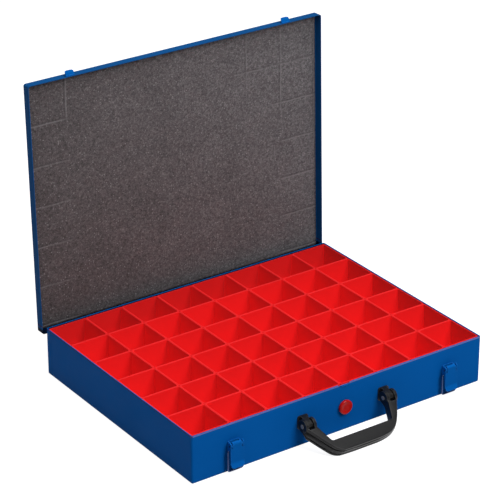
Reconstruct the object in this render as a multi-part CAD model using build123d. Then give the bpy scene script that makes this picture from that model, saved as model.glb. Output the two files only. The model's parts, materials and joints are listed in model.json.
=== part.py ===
from build123d import *
import os
from math import cos, radians, sin, tan

# Compartment storage box: a flat sheet steel case with a hinged lid and loose inset boxes.
# Millimetres. x runs to the right, y to the back, z up, from the middle of the tray's underside.
# It is drawn as it stands open, with the lid leaning back on its hinges.

# inset boxes
columns = 8
rows = 6
box_pitch = 54.0
box_gap = 0.3
box_height = 63.0
box_wall = 1.2
box_floor = 1.3
box_corner = 1.5
box_inner_corner = 2.5
box_draft = 1.2
box_foot_bevel = 1.2

# catch behind the front wall and the button that moves it
button_travel = 1.3
button_x = 4.0
button_z = 33.5
button_radius = 9.3
button_proud = 4.9
button_skirt_wall = 1.3
button_face = 1.5
button_dish = 0.6
button_stem_radius = 3.0
button_tip_radius = 1.5
catch_sheet = 0.7
catch_wall_gap = 0.1
catch_box_gap = 0.1
catch_width = 14.0
catch_foot = 7.0
catch_nose_width = 9.2
catch_nose_reach = 0.85
clip_radius = 3.2
clip_sheet = 0.5
spring_wire = 0.3
spring_radius = 4.8
spring_turns = 2
notch_width = 19.0
notch_depth = 4.5
notch_relief = 1.0

# tray of folded sheet
tray_sheet = 0.8
tray_corner = 2.5
tray_bend = 2.0
hem_height = 6.0
hem_round = 0.5
box_side_clearance = 0.4
rim_drop = 0.7

# lid of folded sheet with a foam pad
lid_sheet = 0.8
lid_gap = 1.2
lid_top_gap = 0.7
lid_rim = 13.0
lid_corner = 3.0
lid_bend = 2.0
lid_lean = 1.8
bead_radius = 0.75
bead_length = 16.0
bead_nose_gap = 0.35
foam_box_gap = 0.3
foam_edge_gap = 0.2
foam_side_gap = 1.6
foam_corner = 3.6

# hinges at the back
hinge_spread = 280.0
hinge_width = 60.0
hinge_standoff = 4.0
hinge_drop = 2.0
hinge_sheet = 1.0
hinge_pin_radius = 1.25
hinge_leaf_height = 22.0
hinge_leaf_corner = 4.0
hinge_end_gap = 0.3
hinge_stop_gap = 0.1
hinge_rivet_spacing = 20.0
hinge_pin_head = 1.2

# toggle latches at the front
hardware_x = 2.0
latch_spread = 324.0
latch_sheet = 1.2
lever_width = 18.8
lever_pivot_out = 6.5
lever_pivot_z = 38.0
lever_plate_out = 9.5
lever_top = 5.0
lever_top_round = 3.0
lever_length = 28.4
lever_flare = 3.0
lever_tip_round = 4.0
lever_pin_radius = 1.5
bail_pivot_in = 1.0
bail_pivot_down = 7.0
bail_wire = 1.0
bail_gap = 0.3
bail_bend = 2.6
bracket_ear_radius = 3.0
bracket_gap = 0.3
bracket_foot = 18.0
bracket_ear_heel = 7.6
latch_rivet_rise = 4.0
latch_rivet_spacing = 7.0
hook_width = 10.0
hook_rise = 7.9
hook_seat = 4.0
hook_slack = 0.1

# carrying handle
pivot_spread = 122.0
handle_pivot_out = 11.0
handle_pivot_z = 33.0
handle_fall = 58.0
knuckle_width = 15.6
knuckle_radius = 8.5
fork_slot = 8.0
tongue_gap = 0.3
tongue_radius = 6.2
grip_face_up = 5.0
grip_thickness = 13.6
grip_upper_shoulder = 5.0
grip_upper_reach = 48.0
grip_lower_shoulder = 15.0
grip_lower_reach = 49.0
grip_slant = 31.0
grip_bar = 17.0
grip_opening = 90.0
grip_corner = 17.0
grip_inner_corner = 3.5
grip_edge_round = 1.4
grip_groove = 2.0
grip_groove_depth = 1.4
grip_groove_spread = 6.0
handle_pin_radius = 2.0
handle_bracket_sheet = 1.8
handle_bracket_height = 18.0
screw_spacing = 10.0
screw_radius = 1.75
screw_head_radius = 3.4
screw_head = 1.0
screw_length = 6.0

# fasteners and running fits
rivet_radius = 1.6
rivet_head_radius = 3.0
rivet_head = 1.4
rivet_tail_radius = 2.6
rivet_tail = 1.0
flush_tail = 0.6
fit = 0.05

# sizes that follow from these
catch_room = catch_wall_gap + catch_sheet + button_travel + catch_box_gap
base_width = columns * box_pitch + 2 * (2 * tray_sheet + box_side_clearance)
base_depth = rows * box_pitch + 2 * (tray_sheet + catch_room)
box_top = tray_sheet + box_height
base_height = box_top + rim_drop
front_y = -base_depth / 2
back_y = base_depth / 2
lid_offset = lid_gap + lid_sheet
lid_width = base_width + 2 * lid_offset
lid_depth = base_depth + 2 * lid_offset
lid_ceiling = base_height + lid_top_gap
lid_top = lid_ceiling + lid_sheet
lid_edge = lid_top - lid_rim
hinge_y = back_y + hinge_standoff
hinge_z = lid_edge - hinge_drop
open_angle = 90 + lid_lean
barrel_hole = hinge_pin_radius + fit
barrel_radius = barrel_hole + hinge_sheet
lever_plate_half = lever_width / 2
lever_inside = lever_plate_half - latch_sheet
ear_out = lever_inside - bracket_gap
bail_out = lever_plate_half + bail_gap + bail_wire
bail_pivot_out = lever_pivot_out - bail_pivot_in
bail_pivot_z = lever_pivot_z - bail_pivot_down
hook_seat_z = lid_edge + hook_seat
bail_length = hook_seat_z + hook_slack + bail_wire - bail_pivot_z


def front_plane(x):
    """First axis out of the front wall, second axis up."""
    return Plane(origin=(x, front_y, 0), x_dir=(0, -1, 0), z_dir=(-1, 0, 0))


def back_plane(x):
    """First axis out of the back wall, second axis up."""
    return Plane(origin=(x, back_y, 0), x_dir=(0, 1, 0), z_dir=(1, 0, 0))


def bar(plane, width, sketch):
    """A profile drawn across the box, given its width along x."""
    return extrude(plane * sketch, amount=width / 2, both=True)


def turned(x, y, z, out, profile):
    """A profile of (radius, distance outwards) points turned about a line along y."""
    plane = Plane(origin=(x, y, z), x_dir=(1, 0, 0), z_dir=(0, 0, out))
    return revolve(plane * make_face(Polyline(*profile, close=True)), axis=Axis((x, y, z), (0, 1, 0)))


def hole(x, y, z, radius, length):
    """A round cutter along y, with its middle at the given point."""
    return Pos(x, y, z) * Rot(90, 0, 0) * Cylinder(radius, length)


def rod(x, y, z, radius, length):
    """A round bar along x, with its middle at the given point."""
    return Pos(x, y, z) * Rot(0, 90, 0) * Cylinder(radius, length)


def block(width, depth, low, high, corner):
    """An upright block with rounded corners about the middle of the box."""
    return extrude(Pos(0, 0, low) * RectangleRounded(width, depth, corner), amount=high - low)


def opened(piece):
    """A piece of the closed lid, turned to where the open lid stands."""
    return piece.rotate(Axis((0, hinge_y, hinge_z), (-1, 0, 0)), open_angle)


def rivet(x, y, z, out, grip, wall, tail):
    """A rivet through a wall: head on the outside of what it holds, tail behind the wall."""
    crown = 0.55 * rivet_head_radius
    shoulder = 0.4 * rivet_head
    profile = [
        (0, grip + rivet_head),
        (crown, grip + rivet_head),
        (rivet_head_radius, grip + shoulder),
        (rivet_head_radius, grip),
        (rivet_radius, grip),
        (rivet_radius, -wall),
        (rivet_tail_radius, -wall),
        (rivet_tail_radius, -wall - tail),
        (0, -wall - tail),
    ]
    return turned(x, y, z, out, profile)


# places of what repeats
hinge_places = [-hinge_spread / 2, hinge_spread / 2]
latch_places = [hardware_x - latch_spread / 2, hardware_x + latch_spread / 2]
pivot_places = [hardware_x - pivot_spread / 2, hardware_x + pivot_spread / 2]
hinge_leaf_low = hinge_z - hinge_leaf_height
hinge_rivet_z = hinge_leaf_low + hinge_leaf_height / 3
lid_rivet_z = lid_edge + lid_rim / 2
hinge_rivet_steps = [-hinge_rivet_spacing, 0, hinge_rivet_spacing]
latch_foot_z = lever_pivot_z - bracket_foot
latch_rivets_low = latch_foot_z + latch_rivet_rise
latch_rivets_z = [latch_rivets_low, latch_rivets_low + latch_rivet_spacing]
handle_screws_z = [handle_pivot_z - screw_spacing / 2, handle_pivot_z + screw_spacing / 2]
catch_inner_y = front_y + tray_sheet + catch_wall_gap
notch_floor = base_height - notch_depth
notch_radius = (notch_width**2 / 4 + notch_depth**2) / (2 * notch_depth)
nose_low = notch_floor + 1.3
nose_high = nose_low + catch_sheet


def make_tray():
    """Folded tray with a hemmed edge, the catch's notch and the fasteners' holes."""
    inner_corner = tray_corner - tray_sheet
    outside = block(base_width, base_depth, 0, base_height, tray_corner)
    outside = fillet(outside.faces().sort_by(Axis.Z)[0].edges(), tray_bend)
    hem_low = base_height - hem_height
    hollow = block(base_width - 2 * tray_sheet, base_depth - 2 * tray_sheet, tray_sheet, hem_low, inner_corner)
    hollow = fillet(hollow.faces().sort_by(Axis.Z)[0].edges(), tray_bend - tray_sheet)
    mouth_width = base_width - 4 * tray_sheet
    mouth_depth = base_depth - 4 * tray_sheet
    mouth = block(mouth_width, mouth_depth, hem_low - tray_sheet, base_height, inner_corner - tray_sheet)
    tray = outside - (hollow + mouth)
    tray = fillet(tray.edges().group_by(Axis.Z)[-1], hem_round)
    wall = 4 * tray_sheet
    notch = hole(button_x, front_y, notch_floor + notch_radius, notch_radius, wall)
    relief_width = catch_width + 2 * notch_relief
    relief_low = hem_low - tray_sheet
    relief_height = base_height - relief_low
    relief_y = front_y + tray_sheet + wall / 2
    relief = Pos(button_x, relief_y, relief_low + relief_height) * Box(relief_width, wall, 2 * relief_height)
    tray = tray - notch - relief
    tray = tray - hole(button_x, front_y, button_z, button_stem_radius + 2 * fit, wall)
    for x in latch_places:
        for z in latch_rivets_z:
            tray = tray - hole(x, front_y, z, rivet_radius, wall)
    for x in pivot_places:
        for z in handle_screws_z:
            tray = tray - hole(x, front_y, z, screw_radius, wall)
    for x in hinge_places:
        for step in hinge_rivet_steps:
            tray = tray - hole(x + step, back_y, hinge_rivet_z, rivet_radius, wall)
    return tray


def make_box():
    """One inset box, open at the top, with drafted walls."""
    top_size = box_pitch - box_gap
    shrink = 2 * box_height * tan(radians(box_draft))
    top = RectangleRounded(top_size, top_size, box_corner)
    foot = RectangleRounded(top_size - shrink, top_size - shrink, box_corner)
    outside = loft([Pos(0, 0, tray_sheet) * foot, Pos(0, 0, box_top) * top])
    outside = chamfer(outside.edges().group_by(Axis.Z)[0], box_foot_bevel)
    inner_top = top_size - 2 * box_wall
    inner_foot = inner_top - shrink * (box_height - box_floor) / box_height
    mouth = RectangleRounded(inner_top, inner_top, box_inner_corner)
    floor = RectangleRounded(inner_foot, inner_foot, box_inner_corner)
    hollow = loft([Pos(0, 0, tray_sheet + box_floor) * floor, Pos(0, 0, box_top) * mouth])
    hollow = chamfer(hollow.edges().group_by(Axis.Z)[0], box_foot_bevel)
    return outside - hollow


def make_box_row(number):
    """A row of boxes from left to right; row 0 is at the front."""
    pattern = make_box()
    y = (number - (rows - 1) / 2) * box_pitch
    places = [(column - (columns - 1) / 2) * box_pitch for column in range(columns)]
    return Compound(children=[Pos(x, y, 0) * pattern for x in places])


def make_lid():
    """Folded lid with a bead in its front flange for the catch."""
    outside = block(lid_width, lid_depth, lid_edge, lid_top, lid_corner)
    outside = fillet(outside.faces().sort_by(Axis.Z)[-1].edges(), lid_bend)
    inner_corner = lid_corner - lid_sheet
    hollow = block(lid_width - 2 * lid_sheet, lid_depth - 2 * lid_sheet, lid_edge, lid_ceiling, inner_corner)
    hollow = fillet(hollow.faces().sort_by(Axis.Z)[-1].edges(), lid_bend - lid_sheet)
    flange_y = front_y - lid_gap
    bead = rod(button_x, flange_y, nose_low - bead_nose_gap - bead_radius, bead_radius, bead_length)
    lid = outside - hollow + bead
    for x in hinge_places:
        for step in hinge_rivet_steps:
            lid = lid - hole(x + step, back_y + lid_offset, lid_rivet_z, rivet_radius, 4 * lid_sheet)
    return opened(lid)


def make_foam():
    """Foam pad with a border pressed thin where the tray's edge bears on it."""
    width = lid_width - 2 * lid_bend
    depth = lid_depth - 2 * lid_bend
    raised_width = base_width - 4 * tray_sheet - 2 * foam_side_gap
    raised_depth = base_depth - 4 * tray_sheet - 2 * foam_side_gap
    border = block(width, depth, base_height + foam_edge_gap, lid_ceiling, lid_corner)
    raised = block(raised_width, raised_depth, box_top + foam_box_gap, lid_ceiling, foam_corner)
    return opened(border + raised)


def barrel(x, width):
    """A rolled knuckle of a hinge."""
    return rod(x, hinge_y, hinge_z, barrel_radius, width)


def hinge_bore(x):
    """The pin's hole, right through a hinge."""
    return rod(x, hinge_y, hinge_z, barrel_hole, 2 * hinge_width)


def hinge_parts(width):
    """Widths of one outer knuckle and of the middle one, and how far out the outer ones sit."""
    middle = width / 3 - hinge_end_gap
    outer = width / 3
    return outer, middle, width / 3


def make_base_leaf(x):
    """Leaf on the tray's back wall, with two knuckles and a stop tongue between them."""
    outer, middle, step = hinge_parts(hinge_width)
    tongue_top = hinge_z + hinge_sheet
    leaf = Pos(hinge_sheet / 2, (hinge_leaf_low + tongue_top) / 2) * Rectangle(hinge_sheet, tongue_top - hinge_leaf_low)
    plate = bar(back_plane(x), hinge_width, leaf)
    plate = fillet(plate.edges().filter_by(Axis.Y).group_by(Axis.Z)[0], hinge_leaf_corner)
    roll = barrel_hole + hinge_sheet / 2
    start = (hinge_sheet / 2, hinge_z - 2 * hinge_standoff)
    bend = (hinge_sheet / 2, hinge_z - 1.5 * roll - hinge_standoff / 2)
    web = trace(Polyline(start, bend, (hinge_standoff, hinge_z - roll)), hinge_sheet)
    for side in (-1, 1):
        centre = x + side * step
        plate = plate + bar(back_plane(centre), outer, web) + barrel(centre, outer)
    for rivet_step in hinge_rivet_steps:
        plate = plate - hole(x + rivet_step, back_y, hinge_rivet_z, rivet_radius, 4 * hinge_sheet)
    return plate - hinge_bore(x)


def make_lid_leaf(x):
    """Leaf on the lid's back flange, with the middle knuckle and the nib that stops the lid."""
    outer, middle, step = hinge_parts(hinge_width)
    leaf_out = lid_offset + hinge_sheet / 2
    leaf_low = lid_edge + hinge_sheet / 2
    leaf_top = lid_top - lid_bend
    flat = Pos(leaf_out, (leaf_low + leaf_top) / 2) * Rectangle(hinge_sheet, leaf_top - leaf_low)
    plate = bar(back_plane(x), hinge_width, flat)
    plate = fillet(plate.edges().filter_by(Axis.Y).group_by(Axis.Z)[-1], hinge_leaf_corner)
    neck = Pos(leaf_out, (hinge_z + leaf_top) / 2) * Rectangle(hinge_sheet, leaf_top - hinge_z)
    plate = plate + bar(back_plane(x), middle, neck) + barrel(x, middle)
    for rivet_step in hinge_rivet_steps:
        plate = plate - hole(x + rivet_step, back_y + leaf_out, lid_rivet_z, rivet_radius, 4 * hinge_sheet)
    nib_tip = hinge_sheet + hinge_stop_gap
    nib = Pos((nib_tip + hinge_standoff) / 2, hinge_z) * Rectangle(hinge_standoff - nib_tip, hinge_sheet)
    return opened(plate) + bar(back_plane(x), middle, nib) - hinge_bore(x)


def make_hinge_pin(x):
    """Hinge pin with a head at each end."""
    pin = rod(x, hinge_y, hinge_z, hinge_pin_radius, hinge_width + 2 * hinge_pin_head)
    for side in (-1, 1):
        head_x = x + side * (hinge_width / 2 + fit + hinge_pin_head / 2)
        pin = pin + rod(head_x, hinge_y, hinge_z, barrel_radius - fit, hinge_pin_head)
    return pin


def make_hinge_rivets(x):
    """Rivets of one hinge leaf on the tray."""
    spots = [x + step for step in hinge_rivet_steps]
    return Compound(children=[rivet(s, back_y, hinge_rivet_z, 1, hinge_sheet, tray_sheet, rivet_tail) for s in spots])


def make_lid_rivets(x):
    """Rivets of one hinge leaf on the lid, with tails set thin to clear the tray."""
    flange = back_y + lid_offset
    spots = [x + step for step in hinge_rivet_steps]
    group = [rivet(s, flange, lid_rivet_z, 1, hinge_sheet, lid_sheet, flush_tail) for s in spots]
    return Compound(children=[opened(piece) for piece in group])


def make_hook(x):
    """Hook welded to the lid's front flange, which the bail pulls down on."""
    foot = lid_offset + latch_sheet / 2
    lip = foot + hook_rise - latch_sheet
    knee = lid_edge + 1.4
    line = FilletPolyline(
        (foot, lid_edge + 0.5),
        (foot, knee),
        (lip - 0.5, knee + 2.4),
        (lip, lid_edge + 2 * hook_seat + 0.6),
        radius=[0.8, 1.2],
    )
    hook = bar(front_plane(x), hook_width, trace(line, latch_sheet))
    return opened(hook)


def make_latch_bracket(x):
    """Bracket riveted to the front wall, with two ears that carry the lever's pin."""
    top = lever_pivot_z + 4.0
    plate = Pos(latch_sheet / 2, (latch_foot_z + top) / 2) * Rectangle(latch_sheet, top - latch_foot_z)
    bracket = bar(front_plane(x), 2 * ear_out, plate)
    bracket = fillet(bracket.edges().filter_by(Axis.Y).group_by(Axis.Z)[0], 3.0)
    ear = make_hull(
        (Pos(lever_pivot_out, lever_pivot_z) * Circle(bracket_ear_radius)).edges()
        + (Pos(latch_sheet / 2, lever_pivot_z) * Rectangle(latch_sheet, bracket_ear_heel)).edges()
    )
    for side in (-1, 1):
        bracket = bracket + bar(front_plane(x + side * (ear_out - latch_sheet / 2)), latch_sheet, ear)
    for z in latch_rivets_z:
        bracket = bracket - hole(x, front_y, z, rivet_radius, 4 * latch_sheet)
    return bracket - rod(x, front_y - lever_pivot_out, lever_pivot_z, lever_pin_radius + fit, lever_width)


def make_lever(x):
    """Toggle lever: a channel slotted beside the ears, rolled over the pivot and flared at the tip."""
    skin = lever_plate_out - latch_sheet / 2
    crown = lever_pivot_z + lever_top - latch_sheet / 2
    tip = lever_pivot_z - lever_length
    flare_start = tip + 2 * lever_flare
    line = FilletPolyline(
        (lever_pivot_out - 0.2, crown),
        (skin, crown),
        (skin, flare_start),
        (skin + lever_flare, tip),
        radius=[lever_top_round - latch_sheet / 2, 2 * lever_flare],
    )
    plate = bar(front_plane(x), lever_width, trace(line, latch_sheet))
    plate = fillet(plate.edges().filter_by(Axis.X, reverse=True).group_by(Axis.Z)[0], lever_tip_round)
    flange = make_face(
        Polyline(
            (lever_plate_out - 0.3, flare_start + 2),
            (lever_plate_out - 0.3, lever_pivot_z + lever_top - lever_top_round),
            (lever_pivot_out, crown),
            (lever_pivot_out - 3.1, lever_pivot_z + 3.0),
            (lever_pivot_out - 4.2, lever_pivot_z),
            (bail_pivot_out - 2.4, bail_pivot_z - 1.5),
            (bail_pivot_out - 1.0, bail_pivot_z - 3.0),
            (lever_plate_out - latch_sheet, flare_start + 3),
            close=True,
        )
    )
    slot_low = lever_pivot_z - bracket_ear_radius
    slot_top = lever_pivot_z + 2 * lever_top
    slot_inside = ear_out - latch_sheet - bracket_gap
    slot = Pos(lever_pivot_out, (slot_low + slot_top) / 2) * Rectangle(4 * lever_top, slot_top - slot_low)
    lever = plate
    for side in (-1, 1):
        middle = (slot_inside + lever_inside) / 2
        lever = lever - bar(front_plane(x + side * middle), lever_inside - slot_inside, slot)
        lever = lever + bar(front_plane(x + side * (lever_plate_half - latch_sheet / 2)), latch_sheet, flange)
    lever = lever - rod(x, front_y - lever_pivot_out, lever_pivot_z, lever_pin_radius + fit, 2 * lever_width)
    lever = lever - rod(x, front_y - bail_pivot_out, bail_pivot_z, bail_wire + fit, 2 * lever_width)
    return lever


def make_lever_pin(x):
    """Pin of a lever, set flush so that the bail swings past it."""
    return rod(x, front_y - lever_pivot_out, lever_pivot_z, lever_pin_radius, lever_width)


def make_bail(x):
    """Wire bail hanging from the lever, with its ends turned in through the lever's sides."""
    end = lever_inside - 0.5
    low = bail_pivot_z - bail_length
    wire_plane = Plane(origin=(x, front_y - bail_pivot_out, 0), x_dir=(1, 0, 0), z_dir=(0, -1, 0))
    line = wire_plane * FilletPolyline(
        (-end, bail_pivot_z),
        (-bail_out, bail_pivot_z),
        (-bail_out, low),
        (bail_out, low),
        (bail_out, bail_pivot_z),
        (end, bail_pivot_z),
        radius=[1.4, bail_bend, bail_bend, 1.4],
    )
    section = Plane(origin=line @ 0, z_dir=line % 0) * Circle(bail_wire)
    return sweep(section, path=line)


def make_latch_rivets(x):
    """Rivets of one latch bracket."""
    group = [rivet(x, front_y, z, -1, latch_sheet, tray_sheet, rivet_tail) for z in latch_rivets_z]
    return Compound(children=group)


def grip_outline(share):
    """Outline of the grip at a share of its thickness, from its upper face to its lower one."""
    out = pivot_spread / 2 + knuckle_width / 2
    shoulder = grip_upper_shoulder + share * (grip_lower_shoulder - grip_upper_shoulder)
    reach = grip_upper_reach + share * (grip_lower_reach - grip_upper_reach)
    flat = out - (reach - shoulder) * tan(radians(grip_slant))
    right = [(out, 0), (out, shoulder), (flat, reach)]
    outline = make_face(Polyline(*right, *[(-px, py) for px, py in reversed(right)], close=True))
    return fillet(outline.vertices().filter_by_position(Axis.Y, reach - 0.1, reach + 0.1), grip_corner)


def make_grip():
    """Moulded handle: a grip that widens downwards between two forked knuckles, with two grooves round it."""
    low = grip_thickness - grip_face_up
    grip = loft([Pos(0, 0, -grip_face_up) * grip_outline(0), Pos(0, 0, low) * grip_outline(1)], ruled=True)
    inside = pivot_spread / 2 - knuckle_width / 2
    inner = grip_upper_reach - grip_bar
    right = [(grip_opening / 2, inner), (inside, knuckle_radius), (inside, -knuckle_radius)]
    gap = make_face(Polyline(*[(-px, py) for px, py in reversed(right)], *right, close=True))
    gap = fillet(gap.vertices().filter_by_position(Axis.Y, inner - 0.1, inner + 0.1), grip_inner_corner)
    grip = grip - extrude(gap, amount=2 * grip_thickness, both=True)
    faces = grip.faces().filter_by(Axis.Z)
    grip = fillet(faces.edges().filter_by_position(Axis.Y, 1, grip_lower_reach + 1), grip_edge_round)
    middle = grip_thickness / 2 - grip_face_up
    for side in (-1, 1):
        level = middle + side * grip_groove_spread / 2
        rim = grip_outline((level + grip_face_up) / grip_thickness)
        band = offset(rim, grip_groove_depth) - offset(rim, -grip_groove_depth)
        band = extrude(band, amount=grip_groove / 2, both=True) - Box(4 * inside, 2 * grip_upper_shoulder, grip_groove)
        grip = grip - Pos(0, 0, level) * band
    for side in (-1, 1):
        grip = grip + rod(side * pivot_spread / 2, 0, 0, knuckle_radius, knuckle_width)
    for side in (-1, 1):
        knuckle_x = side * pivot_spread / 2
        slot = Pos(knuckle_x, 0, 0) * Box(fork_slot, 2 * (knuckle_radius + 1), 3 * knuckle_radius)
        grip = grip - slot - rod(knuckle_x, 0, 0, handle_pin_radius + fit, 2 * knuckle_width)
    fall = radians(handle_fall)
    place = Plane(
        origin=(hardware_x, front_y - handle_pivot_out, handle_pivot_z),
        x_dir=(1, 0, 0),
        z_dir=(0, cos(fall), -sin(fall)),
    )
    return place * grip


def make_handle_bracket(x):
    """Bracket with a tongue that stands in the handle's fork."""
    plate_sketch = Pos(handle_bracket_sheet / 2, handle_pivot_z) * Rectangle(handle_bracket_sheet, handle_bracket_height)
    plate = bar(front_plane(x), knuckle_width, plate_sketch)
    plate = fillet(plate.edges().filter_by(Axis.Y), 3.0)
    tongue = make_hull(
        (Pos(handle_pivot_out, handle_pivot_z) * Circle(tongue_radius)).edges() + plate_sketch.edges()
    )
    bracket = plate + bar(front_plane(x), fork_slot - 2 * tongue_gap, tongue)
    for z in handle_screws_z:
        bracket = bracket - hole(x, front_y, z, screw_radius, 2 * (screw_length + fit))
    return bracket - rod(x, front_y - handle_pivot_out, handle_pivot_z, handle_pin_radius + fit, knuckle_width)


def make_handle_pin(x):
    """Pin of one knuckle, with a low head at each end."""
    y = front_y - handle_pivot_out
    head = 0.6
    pin = rod(x, y, handle_pivot_z, handle_pin_radius, knuckle_width + 2 * head)
    for side in (-1, 1):
        head_x = x + side * (knuckle_width / 2 + fit + head / 2)
        pin = pin + rod(head_x, y, handle_pivot_z, handle_pin_radius + 0.7, head)
    return pin


def make_handle_screws(x):
    """Low screws from inside the tray into one bracket."""
    wall = -tray_sheet
    profile = [
        (0, screw_length),
        (screw_radius, screw_length),
        (screw_radius, wall),
        (screw_head_radius, wall),
        (screw_head_radius - 0.4, wall - screw_head),
        (0, wall - screw_head),
    ]
    return Compound(children=[turned(x, front_y, z, -1, profile) for z in handle_screws_z])


def make_button():
    """Push button: a dished cap on a stem that steps down to the catch."""
    skirt_low = button_travel + 0.35
    back = -(tray_sheet + catch_wall_gap)
    tip = back - catch_sheet - clip_sheet
    inner = button_radius - button_skirt_wall
    under = button_proud - button_face
    profile = [
        (0, button_proud - button_dish),
        (0.45 * button_radius, button_proud - 0.8 * button_dish),
        (0.8 * button_radius, button_proud),
        (0.92 * button_radius, button_proud),
        (button_radius, button_proud - button_dish),
        (button_radius, skirt_low),
        (inner, skirt_low),
        (inner, under),
        (button_stem_radius, under),
        (button_stem_radius, back),
        (button_tip_radius, back),
        (button_tip_radius, tip),
        (0, tip),
    ]
    return turned(button_x, front_y, button_z, -1, profile)


def make_spring():
    """Coil spring between the wall and the cap."""
    room = button_proud - button_face - 2 * spring_wire - 2 * fit
    start = front_y - spring_wire - fit
    line = Helix(
        pitch=room / spring_turns,
        height=room,
        radius=spring_radius,
        center=(button_x, start, button_z),
        direction=(0, -1, 0),
    )
    section = Plane(origin=line @ 0, z_dir=line % 0) * Circle(spring_wire)
    return sweep(section, path=line, is_frenet=True)


def make_catch():
    """Catch plate behind the wall, with a nose bent out through the notch."""
    near = -(tray_sheet + catch_wall_gap)
    far = near - catch_sheet
    low = button_z - catch_foot
    strip = Pos((near + far) / 2, (low + nose_high) / 2) * Rectangle(catch_sheet, nose_high - low)
    plate = bar(front_plane(button_x), catch_width, strip)
    plate = fillet(plate.edges().filter_by(Axis.Y).group_by(Axis.Z)[0], 4.0)
    nose = Pos((near + catch_nose_reach) / 2, (nose_low + nose_high) / 2) * Rectangle(
        catch_nose_reach - near, catch_sheet
    )
    catch = plate + bar(front_plane(button_x), catch_nose_width, nose)
    return catch - hole(button_x, catch_inner_y, button_z, button_tip_radius, 4 * catch_sheet)


def make_clip():
    """Push-on clip that keeps the catch on the stem."""
    y = catch_inner_y + catch_sheet + clip_sheet / 2
    return hole(button_x, y, button_z, clip_radius, clip_sheet) - hole(
        button_x, y, button_z, button_tip_radius, 2 * clip_sheet
    )


def all_pieces():
    """Every piece by name."""
    pieces = {"base_tray": make_tray()}
    for number in range(rows):
        pieces[f"box_row_{number + 1}"] = make_box_row(number)
    pieces["lid_shell"] = make_lid()
    pieces["lid_foam"] = make_foam()
    for side, x in zip(("left", "right"), hinge_places):
        pieces[f"hinge_base_leaf_{side}"] = make_base_leaf(x)
        pieces[f"hinge_lid_leaf_{side}"] = make_lid_leaf(x)
        pieces[f"hinge_pin_{side}"] = make_hinge_pin(x)
        pieces[f"hinge_base_rivets_{side}"] = make_hinge_rivets(x)
        pieces[f"hinge_lid_rivets_{side}"] = make_lid_rivets(x)
    for side, x in zip(("left", "right"), latch_places):
        pieces[f"lid_hook_{side}"] = make_hook(x)
        pieces[f"latch_bracket_{side}"] = make_latch_bracket(x)
        pieces[f"latch_lever_{side}"] = make_lever(x)
        pieces[f"latch_pin_{side}"] = make_lever_pin(x)
        pieces[f"latch_bail_{side}"] = make_bail(x)
        pieces[f"latch_rivets_{side}"] = make_latch_rivets(x)
    pieces["handle_grip"] = make_grip()
    for side, x in zip(("left", "right"), pivot_places):
        pieces[f"handle_bracket_{side}"] = make_handle_bracket(x)
        pieces[f"handle_pin_{side}"] = make_handle_pin(x)
        pieces[f"handle_screws_{side}"] = make_handle_screws(x)
    pieces["button_cap"] = make_button()
    pieces["button_spring"] = make_spring()
    pieces["catch_plate"] = make_catch()
    pieces["catch_clip"] = make_clip()
    return pieces


os.makedirs("parts", exist_ok=True)
for name, piece in all_pieces().items():
    export_step(piece, f"parts/{name}.step")
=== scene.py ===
import bmesh
import bpy
import json
from math import cos, radians, sin
from mathutils import Matrix, Vector, noise


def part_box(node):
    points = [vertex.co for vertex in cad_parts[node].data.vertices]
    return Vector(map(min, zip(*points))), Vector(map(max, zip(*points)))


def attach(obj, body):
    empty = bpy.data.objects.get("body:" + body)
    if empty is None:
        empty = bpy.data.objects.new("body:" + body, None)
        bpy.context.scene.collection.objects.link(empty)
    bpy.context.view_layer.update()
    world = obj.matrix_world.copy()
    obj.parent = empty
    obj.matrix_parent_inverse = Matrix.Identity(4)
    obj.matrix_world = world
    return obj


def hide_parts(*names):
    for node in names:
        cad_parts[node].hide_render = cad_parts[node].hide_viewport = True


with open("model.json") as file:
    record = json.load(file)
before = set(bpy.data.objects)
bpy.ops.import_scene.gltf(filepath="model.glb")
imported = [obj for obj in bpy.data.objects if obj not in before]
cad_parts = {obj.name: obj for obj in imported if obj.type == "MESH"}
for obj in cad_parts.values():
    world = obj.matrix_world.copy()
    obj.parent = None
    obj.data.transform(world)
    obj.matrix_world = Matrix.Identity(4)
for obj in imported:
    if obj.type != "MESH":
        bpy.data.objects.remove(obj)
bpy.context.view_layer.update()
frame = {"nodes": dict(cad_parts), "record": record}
nodes = frame["nodes"]
scene = bpy.context.scene

# The photograph's side in pixels and its camera: sensor in millimetres, places in metres, turns in degrees.
IMAGE_SIDE = 498
SENSOR = 36.0
FOCAL_PX = 2381.8
AZIMUTH = -35.038
ELEVATION = 25.854
ROLL = 0.068
DISTANCE = 3.02112
AIM_RIGHT = -0.0174
AIM_UP = 0.1624
FAR_CLIP = 50

# The inset boxes' pitch, the lid's turn from shut to open, its edge when shut and the tray's front wall.
PITCH = 0.054
LID_TURN = 91.8
LID_EDGE = 0.053
FRONT_WALL = -0.165
SIDES = ("left", "right")

# Colours of the painted sheet and the plated steel: darker patches, lighter patches and, on paint, edges,
# which are paler partly from wear and partly as a painted highlight.
CASE_BLUE = ((0.0012, 0.094, 0.365), (0.0016, 0.106, 0.405), (0.06, 0.22, 0.54))
# The lid's blue is the case's paint made darker, as painted shade.
LID_BLUE_SHADED = ((0.006, 0.072, 0.235), (0.007, 0.082, 0.262), (0.03, 0.12, 0.30))
ZINC = ((0.03, 0.05, 0.12), (0.05, 0.08, 0.18))
BRIGHT_STEEL = ((0.17, 0.17, 0.18), (0.25, 0.25, 0.26))
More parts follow.
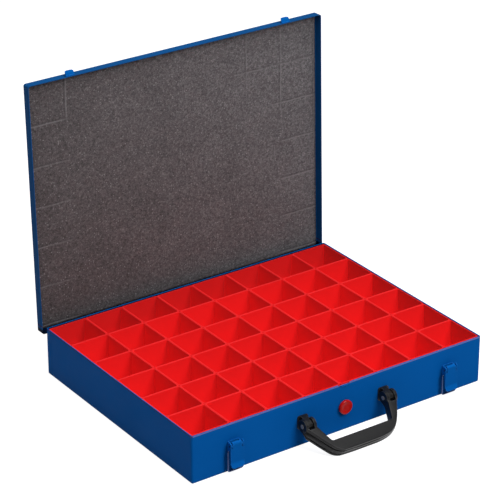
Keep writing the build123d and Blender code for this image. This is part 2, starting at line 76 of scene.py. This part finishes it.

# Where painted highlight and painted shade lie on the open case. Each pair is where it starts and where it
# is full.
HEM_FOOT = (0.0626, 0.0632)
HEM_TOP = (0.0645, 0.0641)
HEM_FRONT = (-0.162, -0.163)
HEM_FLANK = (0.2160, 0.2166)
REAR_FOOT = (0.0600, 0.0606)
REAR_INSIDE = (0.162, 0.163)
REAR_OUTSIDE = (0.1656, 0.1652)
LOW_LID_TOP = (0.0600, 0.0590)
LOW_LID_INSIDE = (0.1700, 0.1704)
LOW_LID_OUTSIDE = (0.1838, 0.1834)
# Colours of the painted highlight on the tray's front hem, of the painted shade on its side hems, and of the
# painted shade on its rear hem and the open lid's lower flange.
HEM_HIGHLIGHT = (0.28, 0.24, 0.50)
FLANK_SHADE = (0.06, 0.012, 0.05)
REAR_SHADE = (0.001, 0.007, 0.026)

# The boxes' walls that stand against the tray's rear wall and its right wall, which get painted shade.
WALL_BEHIND = (0.1596, 0.1602)
WALL_BESIDE = (0.2136, 0.2142)

# The foam pad, and where the boxes' lines show on it, in places on the shut lid.
FOAM_BACK = 0.0652
FOAM_FACE = 0.0642
FOAM_RIM = 0.0648
FOAM_FLAT = (0.2142, 0.1612)
FOAM_SIZE = (0.4366, 0.3306)
FOAM_STEP = 0.003
FOAM_SLOPE = 0.003
FOAM_WAVE = 0.0001
FOAM_DENT = 0.0002
FOAM_DENT_REACH = 0.0035
# Where a painted sheen lightens the pad, towards its upper right on the open lid.
FOAM_SHEEN = (-0.28, 0.28)
LINE_WIDTH = 0.0016
LINE_WANDER = 0.0022
LINE_SHADOW = 0.0019
LINE_SIDES = (0.158, 0.164)
LINE_FRONT = (-0.100, -0.112)
LINE_FRONT_LEFT = (-0.135, -0.150)
LINE_CORNER = (0.17, 0.23)

# The lid's hooks. A hook's line runs out from the tray's front wall and up from the lid's edge.
HOOK_WIDTH = 0.0122
HOOK_SHEET = 0.0012
HOOK_ROUND = 0.0040
HOOK_EDGE = 0.0003
HOOK_STEPS = 4
HOOK_COLUMNS = 8
HOOK_LINE = (
    (0.0026, 0.0005),
    (0.0026, 0.0014),
    (0.0033, 0.0022),
    (0.0056, 0.0030),
    (0.0070, 0.0037),
    (0.0074, 0.0048),
    (0.0074, 0.0066),
)

# The handle's grip: its fall from upright, and how its corners are cut and drawn in past a slanted plane.
HANDLE_FALL = 58.0
WELD = 0.00001
CORNER_ACROSS = 0.4924
CORNER_DOWN = 0.8704
CORNER_START = 0.0493
CORNER_CUTS = 9
CORNER_STEP = 0.0014
CORNER_SQUEEZE = {-1: 6.0, 1: 24.0}
SHARP_ANGLE = 28

# The catch plate's upper end.
CATCH_TOP_SHEET = 0.0006
CATCH_TOP_HEIGHT = 0.0034
CATCH_TOP_INSET = 0.0004
CATCH_TOP_MIDDLE = 0.0613

# The lamps, each with its place, its side and its power, and what they shine on.
LAMPS = (
    ("key", (0.40, -1.89, 1.84), 1.1, 36),
    ("top", (0.1, -0.2, 2.6), 2.6, 52),
    ("fill", (-1.6, -0.9, 2.3), 1.5, 8),
)
LAMP_AIM = Vector((0, 0, 0.1))
WORLD_LIGHT = 0.08
FLOOR_GREY = 0.4
FLOOR_GLOW = 0.88
FLOOR_REACH = 12


def make_camera():
    az = radians(AZIMUTH)
    el = radians(ELEVATION)
    back = Vector((sin(az) * cos(el), -cos(az) * cos(el), sin(el)))
    right = Vector((cos(az), sin(az), 0))
    up = back.cross(right)
    turn = Matrix((right, up, back)).transposed() @ Matrix.Rotation(radians(ROLL), 3, "Z")
    place = Vector(turn.col[0]) * AIM_RIGHT + Vector(turn.col[1]) * AIM_UP + back * DISTANCE
    data = bpy.data.cameras.new("camera")
    data.sensor_fit = "HORIZONTAL"
    data.sensor_width = SENSOR
    data.lens = FOCAL_PX / IMAGE_SIDE * SENSOR
    data.clip_end = FAR_CLIP
    camera = bpy.data.objects.new("camera", data)
    camera.matrix_world = Matrix.Translation(place) @ turn.to_4x4()
    scene.collection.objects.link(camera)
    scene.camera = camera


class Shader:
    """A Principled material and short ways to add nodes to it."""

    def __init__(self, name):
        self.material = bpy.data.materials.new(name)
        self.material.use_nodes = True
        self.tree = self.material.node_tree
        self.principled = self.tree.nodes["Principled BSDF"]
        self.coords = self.tree.nodes.new("ShaderNodeTexCoord").outputs["Object"]

    def set(self, **values):
        for key, value in values.items():
            self.principled.inputs[key.replace("_", " ")].default_value = value

    def node(self, kind, **settings):
        made = self.tree.nodes.new("ShaderNode" + kind)
        for key, value in settings.items():
            setattr(made, key, value)
        return made

    def link(self, source, target):
        self.tree.links.new(source, target)

    def feed(self, source, name):
        self.link(source, self.principled.inputs[name])

    def axes(self):
        """The object's own places along X, Y and Z."""
        parts = self.node("SeparateXYZ")
        self.link(self.coords, parts.inputs[0])
        return parts.outputs

    def noise(self, scale, detail, roughness=0.5):
        made = self.node("TexNoise")
        made.inputs["Scale"].default_value = scale
        made.inputs["Detail"].default_value = detail
        made.inputs["Roughness"].default_value = roughness
        self.link(self.coords, made.inputs["Vector"])
        return made.outputs["Fac"]

    def patches(self, scale, detail, start=0.0, end=1.0, roughness=0.5):
        """Noise that spreads over the whole way from start to end."""
        return self.fade(self.noise(scale, detail, roughness), 0.3, 0.7, start, end)

    def cells(self, scale):
        made = self.node("TexVoronoi")
        made.inputs["Scale"].default_value = scale
        self.link(self.coords, made.inputs["Vector"])
        return made

    def cell_values(self, cells):
        """One value from 0 to 1 for each cell."""
        split = self.node("SeparateColor")
        self.link(cells.outputs["Color"], split.inputs[0])
        return split.outputs[0]

    def fade(self, source, low, high, start=0.0, end=1.0):
        made = self.node("MapRange", clamp=True)
        for key, value in (("From Min", low), ("From Max", high), ("To Min", start), ("To Max", end)):
            made.inputs[key].default_value = value
        self.link(source, made.inputs["Value"])
        return made.outputs["Result"]

    def math(self, operation, *values):
        made = self.node("Math", operation=operation)
        for value, target in zip(values, made.inputs):
            if isinstance(value, (int, float)):
                target.default_value = value
            else:
                self.link(value, target)
        return made.outputs["Value"]

    def product(self, *values):
        total = values[0]
        for value in values[1:]:
            total = self.math("MULTIPLY", total, value)
        return total

    def larger(self, first, second):
        return self.math("MAXIMUM", first, second)

    def mix(self, factor, first, second, blend="MIX"):
        made = self.node("Mix", data_type="RGBA", blend_type=blend)
        for value, target in ((factor, made.inputs[0]), (first, made.inputs[6]), (second, made.inputs[7])):
            if isinstance(value, (int, float)):
                target.default_value = value
            elif isinstance(value, tuple):
                target.default_value = (*value, 1)
            else:
                self.link(value, target)
        return made.outputs[2]

    def bump(self, height, distance, strength):
        made = self.node("Bump")
        made.inputs["Distance"].default_value = distance
        made.inputs["Strength"].default_value = strength
        self.link(height, made.inputs["Height"])
        self.feed(made.outputs["Normal"], "Normal")

    def edges(self, width):
        """How far the surface bends within width: 0 on flat faces, towards 1 along edges."""
        bevel = self.node("Bevel", samples=6)
        bevel.inputs["Radius"].default_value = width
        geometry = self.node("NewGeometry")
        dot = self.node("VectorMath", operation="DOT_PRODUCT")
        self.link(bevel.outputs["Normal"], dot.inputs[0])
        self.link(geometry.outputs["Normal"], dot.inputs[1])
        return self.fade(dot.outputs["Value"], 1.0, 0.75)


def blue_paint(name, deep, light, edge):
    """Satin powder coat with a fine orange peel and edges paler partly from wear, partly as a painted
    highlight; a painted highlight on the tray's front hem, and painted shade on its side hems, its rear hem
    and the open lid's lower flange.
    """
    shader = Shader(name)
    body = shader.mix(shader.patches(9, 3), deep, light)
    # Paler edges: partly wear, partly a painted highlight.
    painted_sheen = shader.product(shader.edges(0.0006), shader.fade(shader.noise(240, 2), 0.4, 0.6, 0.4, 1.0), 0.55)
    body = shader.mix(painted_sheen, body, edge)
    across, along, height = shader.axes()
    hem = shader.product(shader.fade(height, *HEM_FOOT), shader.fade(height, *HEM_TOP))
    # A painted highlight along the tray's front hem.
    hem_highlight = shader.product(hem, shader.fade(along, *HEM_FRONT), 0.6)
    body = shader.mix(hem_highlight, body, HEM_HIGHLIGHT)
    # Painted shade along the side hems.
    flank_shade = shader.product(hem, shader.fade(shader.math("ABSOLUTE", across), *HEM_FLANK), 0.85)
    body = shader.mix(flank_shade, body, FLANK_SHADE)
    # Painted shade on the tray's rear hem and on the open lid's lower flange beside the hinge.
    rear_places = ((height, REAR_FOOT), (height, HEM_TOP), (along, REAR_INSIDE), (along, REAR_OUTSIDE))
    low_places = ((height, LOW_LID_TOP), (along, LOW_LID_INSIDE), (along, LOW_LID_OUTSIDE))
    rear = shader.product(*(shader.fade(place, *ends) for place, ends in rear_places))
    low_lid = shader.product(*(shader.fade(place, *ends) for place, ends in low_places))
    body = shader.mix(shader.larger(rear, low_lid), body, REAR_SHADE)
    shader.feed(body, "Base Color")
    shader.feed(shader.patches(60, 3, 0.36, 0.46), "Roughness")
    shader.set(IOR=1.1, Specular_IOR_Level=0.2)
    shader.bump(shader.noise(420, 1), 0.00006, 0.5)
    return shader.material


def red_plastic():
    """Smooth moulded plastic with a painted highlight on its rims and a faint painted glow, and painted
    shade on the walls that steel backs.
    """
    shader = Shader("red_plastic")
    body = shader.mix(shader.patches(14, 2), (0.88, 0.009, 0.011), (0.92, 0.010, 0.012))
    across, along, _ = shader.axes()
    # Painted shade: walls that stand against the tray's steel are darker.
    shaded = shader.larger(shader.fade(along, *WALL_BEHIND), shader.fade(across, *WALL_BESIDE))
    body = shader.mix(shader.product(shaded, 0.38), body, (0.30, 0.006, 0.006))
    # A painted highlight along the rims' edges.
    rim = shader.product(shader.edges(0.0008), 0.45)
    shader.feed(shader.mix(rim, body, (0.86, 0.05, 0.06)), "Base Color")
    shader.feed(shader.patches(90, 3, 0.34, 0.44), "Roughness")
    # The faint emission is a painted glow that lightens the boxes' shade.
    shader.set(Specular_IOR_Level=0.3, Emission_Color=(1, 0.13, 0.13, 1), Emission_Strength=0.026)
    shader.bump(shader.noise(900, 2), 0.00003, 0.4)
    return shader.material


def button_plastic():
    """Polished red plastic, deeper in colour than the boxes."""
    shader = Shader("button_plastic")
    shader.feed(shader.mix(shader.patches(160, 2), (0.45, 0.004, 0.003), (0.54, 0.006, 0.005)), "Base Color")
    shader.feed(shader.patches(300, 3, 0.26, 0.34), "Roughness")
    shader.set(Specular_IOR_Level=0.2)
    shader.bump(shader.noise(1500, 2), 0.00002, 0.4)
    return shader.material


def black_plastic():
    """Moulded plastic with a fine grain and a painted highlight along its edges."""
    shader = Shader("black_plastic")
    grain = shader.noise(1400, 2, 0.6)
    body = shader.mix(shader.fade(grain, 0.35, 0.65), (0.0035, 0.0035, 0.004), (0.008, 0.008, 0.009))
    # A painted highlight along the edges.
    painted_sheen = shader.product(shader.edges(0.0009), 0.7)
    shader.feed(shader.mix(painted_sheen, body, (0.10, 0.10, 0.105)), "Base Color")
    shader.feed(shader.patches(500, 2, 0.28, 0.38), "Roughness")
    shader.set(Specular_IOR_Level=0.28)
    shader.bump(grain, 0.00012, 0.6)
    return shader.material


def plated_steel(name, dark, pale, metal):
    """Plated steel wire and pins, with a faint mottle."""
    shader = Shader(name)
    shader.feed(shader.mix(shader.patches(180, 3), dark, pale), "Base Color")
    shader.feed(shader.patches(400, 3, 0.25, 0.4), "Roughness")
    shader.set(Metallic=metal)
    shader.bump(shader.noise(2200, 2), 0.00002, 0.5)
    return shader.material


def pitch_lines(shader, place, wobble, offset):
    """1 along the lines where the walls of the inset boxes bear on the pad, 0 between them."""
    along = shader.math("ADD", shader.math("ADD", place, wobble), offset)
    cell = shader.math("FRACT", shader.math("ADD", shader.product(along, 1 / PITCH), 0.5))
    away = shader.product(shader.math("ABSOLUTE", shader.math("SUBTRACT", cell, 0.5)), PITCH)
    return shader.fade(away, LINE_WIDTH, 0.4 * LINE_WIDTH)


def grey_foam():
    """Open foam: dark grey grit with pale flecks, a painted sheen that lightens it towards its upper right,
    and the lines that the boxes press into its face, drawn as a painted highlight with painted shade beside
    it.
    """
    shader = Shader("grey_foam")
    across, along, _ = shader.axes()
    # A painted sheen: the pad is lighter towards its upper right.
    painted_sheen = shader.fade(shader.math("SUBTRACT", across, shader.product(along, 0.6)), *FOAM_SHEEN)
    body = shader.mix(painted_sheen, (0.090, 0.078, 0.080), (0.142, 0.136, 0.143))
    patches = shader.patches(16, 4, 0.9, 1.1, 0.6)
    clumps = shader.fade(shader.noise(320, 3, 0.7), 0.36, 0.64, 0.72, 1.28)
    grain = shader.fade(shader.cell_values(shader.cells(820)), 0.0, 1.0, 0.7, 1.3)
    body = shader.mix(1.0, body, shader.product(patches, clumps, grain), "MULTIPLY")
    fleck = shader.cells(330)
    small = shader.fade(fleck.outputs["Distance"], 0.36, 0.16)
    rare = shader.fade(shader.cell_values(fleck), 0.66, 0.9, 0.0, 0.7)
    body = shader.mix(shader.product(small, rare), body, (0.31, 0.30, 0.305))
    wobble = shader.fade(shader.noise(24, 2), 0.0, 1.0, -LINE_WANDER, LINE_WANDER)
    sides = shader.fade(shader.math("ABSOLUTE", across), *LINE_SIDES)
    front = shader.product(shader.fade(along, *LINE_FRONT), shader.fade(across, *LINE_FRONT_LEFT))
    corner = shader.fade(shader.math("SUBTRACT", across, along), *LINE_CORNER)
    rows_room = shader.larger(sides, corner)
    columns_room = shader.larger(front, corner)
    patchy = shader.fade(shader.noise(23, 2), 0.35, 0.55, 0.5, 1.0)
    # The pale lines are a painted highlight, and the dark lines just beside them are painted shade.
    line_highlight = (0.0, (0.22, 0.212, 0.22), 0.55)
    line_shade = (LINE_SHADOW, (0.052, 0.046, 0.050), 0.4)
    for offset, colour, strength in (line_highlight, line_shade):
        rows_mark = shader.product(pitch_lines(shader, along, wobble, offset), rows_room)
        columns_mark = shader.product(pitch_lines(shader, across, wobble, offset), columns_room)
        mark = shader.product(shader.larger(rows_mark, columns_mark), patchy, strength)
        body = shader.mix(mark, body, colour)
    shader.feed(body, "Base Color")
    shader.set(Roughness=0.95, Specular_IOR_Level=0.15)
    shader.bump(shader.cells(900).outputs["Distance"], 0.0006, 0.8)
    return shader.material


MATERIALS = {
    "blue_enamel": blue_paint("blue_paint", *CASE_BLUE),
    "red_plastic": red_plastic(),
    "red_button": button_plastic(),
    "black_plastic": black_plastic(),
    "zinc_steel": plated_steel("zinc_steel", *ZINC, 1.0),
    "grey_foam": grey_foam(),
    "bright_steel": plated_steel("bright_steel", *BRIGHT_STEEL, 0.1),
    "lid_paint_shaded": blue_paint("lid_paint_shaded", *LID_BLUE_SHADED),
}

# Nodes with a finish of their own, instead of their slot's; the lid's is its slot's blue made darker as
# painted shade.
FINISH = {"lid_shell": "lid_paint_shaded"}
for NODE in ("handle_pin_", "hinge_pin_", "handle_screws_"):
    for SIDE in SIDES:
        FINISH[NODE + SIDE] = "bright_steel"


def dress_nodes():
    """Gives every CAD node the finish of its slot."""
    for part in frame["record"]["subparts"]:
        node = nodes[part["node"]]
        node.data.materials.clear()
        slot = FINISH.get(part["node"], part["material_slot"])
        node.data.materials.append(MATERIALS[slot])


def lid_matrix():
    """From the shut lid's place to the open lid's place."""
    low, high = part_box("hinge_pin_left")
    axis = Vector((0, (low.y + high.y) / 2, (low.z + high.z) / 2))
    turn = Matrix.Rotation(radians(-LID_TURN), 4, "X")
    return Matrix.Translation(axis) @ turn @ Matrix.Translation(-axis)


def new_object(name, mesh, material):
    """Puts the finished mesh into the scene as an object."""
    data = bpy.data.meshes.new(name)
    mesh.to_mesh(data)
    mesh.free()
    data.materials.append(material)
    made = bpy.data.objects.new(name, data)
    scene.collection.objects.link(made)
    return made


def foam_height(x, y):
    """The height of the pad's face: a faint wave, dents along the boxes' lines and a slope at its edge."""
    edge = min(FOAM_FLAT[0] - abs(x), FOAM_FLAT[1] - abs(y))
    wave = noise.noise(Vector((x * 18, y * 18, 3.7))) * FOAM_WAVE
    near_x, near_y = (abs((place / PITCH + 0.5) % 1 - 0.5) * PITCH for place in (x, y))
    strength = 0.5 + 0.5 * noise.noise(Vector((x * 9 + 5, y * 9, 1.3)))
    dent = max(0, 1 - min(near_x, near_y) / FOAM_DENT_REACH) * FOAM_DENT * strength
    slope = (FOAM_RIM - FOAM_FACE) * min(1, max(0, 1 - edge / FOAM_SLOPE))
    return FOAM_FACE + wave + dent + slope


def make_foam():
    """The lid's foam pad: a fine grid, pressed a little where the boxes' walls bear on it."""
    columns = round(FOAM_SIZE[0] / FOAM_STEP)
    rows = round(FOAM_SIZE[1] / FOAM_STEP)
    mesh = bmesh.new()
    grid = []
    for j in range(rows + 1):
        line = []
        y = (j / rows - 0.5) * FOAM_SIZE[1]
        for i in range(columns + 1):
            x = (i / columns - 0.5) * FOAM_SIZE[0]
            line.append(mesh.verts.new((x, y, foam_height(x, y))))
        grid.append(line)
    for j in range(rows):
        for i in range(columns):
            mesh.faces.new((grid[j][i], grid[j + 1][i], grid[j + 1][i + 1], grid[j][i + 1]))
    rim = grid[0][:-1] + [line[-1] for line in grid[:-1]]
    rim += grid[-1][:0:-1] + [line[0] for line in grid[:0:-1]]
    back = [mesh.verts.new((v.co.x, v.co.y, FOAM_BACK)) for v in rim]
    for k in range(len(rim)):
        n = (k + 1) % len(rim)
        mesh.faces.new((rim[k], rim[n], back[n], back[k]))
    mesh.faces.new(back)
    bmesh.ops.recalc_face_normals(mesh, faces=mesh.faces)
    pad = new_object("foam_pad", mesh, MATERIALS["grey_foam"])
    pad.data.shade_smooth()
    pad.matrix_world = lid_matrix()
    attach(pad, "lid")
    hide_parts("lid_foam")


def smooth_line(points, steps):
    """A round line through the given points."""
    line = []
    ends = [points[0], *points, points[-1]]
    for k in range(len(points) - 1):
        a, b, c, d = (Vector(p) for p in ends[k:k + 4])
        for n in range(steps):
            t = n / steps
            bend = (2 * a - 5 * b + 4 * c - d) * t**2 + (3 * b - a - 3 * c + d) * t**3
            line.append((2 * b + (c - a) * t + bend) / 2)
    line.append(Vector(points[-1]))
    return line


def make_hook(side):
    """The lid's hook: a bent strip with a rounded end."""
    low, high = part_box("lid_hook_" + side)
    middle = (low.x + high.x) / 2
    line = smooth_line(HOOK_LINE, HOOK_STEPS)
    total = sum((b - a).length for a, b in zip(line, line[1:]))
    mesh = bmesh.new()
    rows, run = [], 0.0
    for k, point in enumerate(line):
        if k:
            run += (point - line[k - 1]).length
        left = total - run
        cut = HOOK_ROUND - (HOOK_ROUND**2 - max(0.0, HOOK_ROUND - left) ** 2) ** 0.5
        half = HOOK_WIDTH / 2 - cut
        y, z = FRONT_WALL - point.x, LID_EDGE + point.y
        places = [2 * i / HOOK_COLUMNS - 1 for i in range(HOOK_COLUMNS + 1)]
        rows.append([mesh.verts.new((middle + half * place, y, z)) for place in places])
    for a, b in zip(rows, rows[1:]):
        for i in range(HOOK_COLUMNS):
            mesh.faces.new((a[i], a[i + 1], b[i + 1], b[i]))
    hook = new_object("hook_" + side, mesh, MATERIALS["blue_enamel"])
    hook.data.shade_smooth()
    hook.matrix_world = lid_matrix()
    thick = hook.modifiers.new("sheet", "SOLIDIFY")
    thick.thickness = HOOK_SHEET
    thick.offset = 0
    edge = hook.modifiers.new("edge", "BEVEL")
    edge.width = HOOK_EDGE
    edge.segments = 2
    edge.limit_method = "ANGLE"
    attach(hook, "lid")
    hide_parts("lid_hook_" + side)


def corner_way(side, reach):
    """The way out over one corner of the grip, between its end and its bar."""
    return Vector((side * CORNER_ACROSS, 0, 0)) + reach * CORNER_DOWN


def make_grip():
    """The handle's grip again, with its corners rounded further."""
    source = nodes["handle_grip"]
    low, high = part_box("handle_pin_left")
    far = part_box("handle_pin_right")[1]
    pivot = Vector(((low.x + far.x) / 2, (low.y + high.y) / 2, (low.z + high.z) / 2))
    fall = radians(HANDLE_FALL)
    reach = Vector((0, -sin(fall), -cos(fall)))
    mesh = bmesh.new()
    mesh.from_mesh(source.data)
    mesh.transform(source.matrix_world)
    bmesh.ops.remove_doubles(mesh, verts=mesh.verts, dist=WELD)
    for side in CORNER_SQUEEZE:
        way = corner_way(side, reach)
        for k in range(CORNER_CUTS):
            place = pivot + way * (CORNER_START + CORNER_STEP * k)
            everything = mesh.verts[:] + mesh.edges[:] + mesh.faces[:]
            bmesh.ops.bisect_plane(mesh, geom=everything, plane_co=place, plane_no=way)
    for vert in mesh.verts:
        local = vert.co - pivot
        side = 1 if local.x > 0 else -1
        way = corner_way(side, reach)
        past = local.dot(way) - CORNER_START
        if past > 0:
            vert.co -= way * (CORNER_SQUEEZE[side] * past**2)
    bmesh.ops.triangulate(mesh, faces=mesh.faces)
    grip = new_object("grip", mesh, MATERIALS["black_plastic"])
    grip.data.shade_smooth()
    grip.data.set_sharp_from_angle(angle=radians(SHARP_ANGLE))
    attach(grip, "handle")
    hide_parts("handle_grip")


def make_catch_top():
    """The catch plate's upper end, which shows in the notch of the front edge."""
    low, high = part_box("catch_plate")
    centre = Vector(((low.x + high.x) / 2, high.y - CATCH_TOP_INSET, CATCH_TOP_MIDDLE))
    size = Vector((high.x - low.x, CATCH_TOP_SHEET, CATCH_TOP_HEIGHT))
    mesh = bmesh.new()
    bmesh.ops.create_cube(mesh, size=1)
    for vert in mesh.verts:
        vert.co = centre + vert.co * size
    top = new_object("catch_top", mesh, MATERIALS["blue_enamel"])
    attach(top, "button")


def make_light():
    """Three soft lamps, and a world that looks white but gives little light."""
    for name, place, side, power in LAMPS:
        data = bpy.data.lights.new(name, "AREA")
        data.shape = "RECTANGLE"
        data.size = data.size_y = side
        data.energy = power
        lamp = bpy.data.objects.new(name, data)
        lamp.location = place
        lamp.rotation_euler = (LAMP_AIM - Vector(place)).to_track_quat("-Z", "Y").to_euler()
        scene.collection.objects.link(lamp)
    world = bpy.data.worlds.new("studio")
    world.use_nodes = True
    tree = world.node_tree
    background = tree.nodes["Background"]
    background.inputs["Color"].default_value = (1, 1, 1, 1)
    path = tree.nodes.new("ShaderNodeLightPath")
    strength = tree.nodes.new("ShaderNodeMapRange")
    strength.inputs["To Min"].default_value = WORLD_LIGHT
    strength.inputs["To Max"].default_value = 1.0
    tree.links.new(path.outputs["Is Camera Ray"], strength.inputs["Value"])
    tree.links.new(strength.outputs["Result"], background.inputs["Strength"])
    scene.world = world


def make_floor():
    """A pale floor that looks white, and keeps the shadow of the case."""
    shader = Shader("floor")
    shader.set(Base_Color=(FLOOR_GREY, FLOOR_GREY, FLOOR_GREY, 1), Roughness=0.9, Specular_IOR_Level=0.1)
    path = shader.node("LightPath")
    seen = shader.math("ADD", path.outputs["Is Camera Ray"], path.outputs["Is Glossy Ray"])
    seen.node.use_clamp = True
    shader.feed(shader.product(seen, FLOOR_GLOW), "Emission Strength")
    shader.set(Emission_Color=(1, 1, 1, 1))
    mesh = bmesh.new()
    bmesh.ops.create_grid(mesh, x_segments=2, y_segments=2, size=FLOOR_REACH)
    floor = new_object("floor", mesh, shader.material)


scene.view_settings.view_transform = "Standard"
make_camera()
dress_nodes()
make_foam()
for SIDE in SIDES:
    make_hook(SIDE)
make_grip()
make_catch_top()
make_light()
make_floor()
